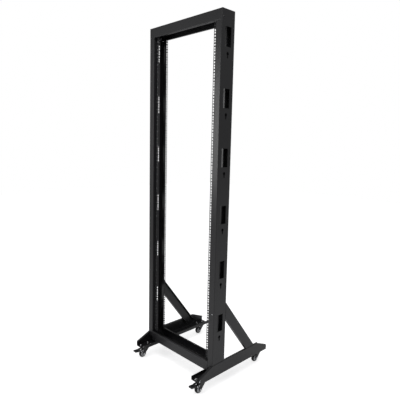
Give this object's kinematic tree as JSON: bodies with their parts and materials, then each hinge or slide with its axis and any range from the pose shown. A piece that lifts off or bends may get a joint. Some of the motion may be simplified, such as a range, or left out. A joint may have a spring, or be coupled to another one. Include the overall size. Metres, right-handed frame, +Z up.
{
  "type": "two post open frame rack",
  "caption": "Open frame equipment rack with two folded steel uprights, punched rails front and rear, braced feet and swivel casters.",
  "frame": {"origin": "on the floor, at the middle of the footprint covered by the feet and the brake pedals", "axes": "+Z up, +Y from the front (loading) side to the rear, +X to the right seen from the front"},
  "size_m": [0.6, 0.644, 2.0779],
  "materials": {
    "black_powder_coat": "satin black powder coat on folded steel sheet",
    "caster_black": "black coated pressed steel",
    "zinc_steel": "zinc plated steel",
    "wheel_grey": "light grey moulded wheel centre",
    "tyre": "black rubber tread"
  },
  "bodies": {
    "frame": {"left_upright": "black_powder_coat", "right_upright": "black_powder_coat", "left_front_rail": "black_powder_coat", "right_front_rail": "black_powder_coat", "left_rear_rail": "black_powder_coat", "right_rear_rail": "black_powder_coat", "top_crossmember": "black_powder_coat", "bottom_crossmember": "black_powder_coat", "left_foot": "black_powder_coat", "right_foot": "black_powder_coat", "left_brace": "black_powder_coat", "right_brace": "black_powder_coat", "front_left_plate": "zinc_steel", "front_right_plate": "zinc_steel", "rear_left_plate": "zinc_steel", "rear_right_plate": "zinc_steel"},
    "front_left_swivel": {"front_left_fork": "caster_black", "front_left_axle": "zinc_steel"},
    "front_left_wheel": {"front_left_hub": "wheel_grey", "front_left_tyre": "tyre"},
    "front_left_brake": {"front_left_pedal": "caster_black"},
    "front_right_swivel": {"front_right_fork": "caster_black", "front_right_axle": "zinc_steel"},
    "front_right_wheel": {"front_right_hub": "wheel_grey", "front_right_tyre": "tyre"},
    "front_right_brake": {"front_right_pedal": "caster_black"},
    "rear_left_swivel": {"rear_left_fork": "caster_black", "rear_left_axle": "zinc_steel"},
    "rear_left_wheel": {"rear_left_hub": "wheel_grey", "rear_left_tyre": "tyre"},
    "rear_right_swivel": {"rear_right_fork": "caster_black", "rear_right_axle": "zinc_steel"},
    "rear_right_wheel": {"rear_right_hub": "wheel_grey", "rear_right_tyre": "tyre"}
  },
  "joints": [
    {"name": "front_left_swivel_turn", "type": "hinge", "parent": "frame", "child": "front_left_swivel", "pos_m": [-0.264, -0.232, 0.0635], "axis": [0, 0, 1], "continuous": true},
    {"name": "front_left_wheel_roll", "type": "hinge", "parent": "front_left_swivel", "child": "front_left_wheel", "pos_m": [-0.264, -0.258, 0.025], "axis": [1, 0, 0], "continuous": true},
    {"name": "front_left_brake_press", "type": "hinge", "parent": "front_left_swivel", "child": "front_left_brake", "pos_m": [-0.264, -0.281, 0.0525], "axis": [1, 0, 0], "range_deg": [0, 10]},
    {"name": "front_right_swivel_turn", "type": "hinge", "parent": "frame", "child": "front_right_swivel", "pos_m": [0.264, -0.232, 0.0635], "axis": [0, 0, 1], "continuous": true},
    {"name": "front_right_wheel_roll", "type": "hinge", "parent": "front_right_swivel", "child": "front_right_wheel", "pos_m": [0.264, -0.258, 0.025], "axis": [1, 0, 0], "continuous": true},
    {"name": "front_right_brake_press", "type": "hinge", "parent": "front_right_swivel", "child": "front_right_brake", "pos_m": [0.264, -0.281, 0.0525], "axis": [1, 0, 0], "range_deg": [0, 10]},
    {"name": "rear_left_swivel_turn", "type": "hinge", "parent": "frame", "child": "rear_left_swivel", "pos_m": [-0.264, 0.276, 0.0635], "axis": [0, 0, 1], "continuous": true},
    {"name": "rear_left_wheel_roll", "type": "hinge", "parent": "rear_left_swivel", "child": "rear_left_wheel", "pos_m": [-0.264, 0.25, 0.025], "axis": [1, 0, 0], "continuous": true},
    {"name": "rear_right_swivel_turn", "type": "hinge", "parent": "frame", "child": "rear_right_swivel", "pos_m": [0.264, 0.276, 0.0635], "axis": [0, 0, 1], "continuous": true},
    {"name": "rear_right_wheel_roll", "type": "hinge", "parent": "rear_right_swivel", "child": "rear_right_wheel", "pos_m": [0.264, 0.25, 0.025], "axis": [1, 0, 0], "continuous": true}
  ]
}
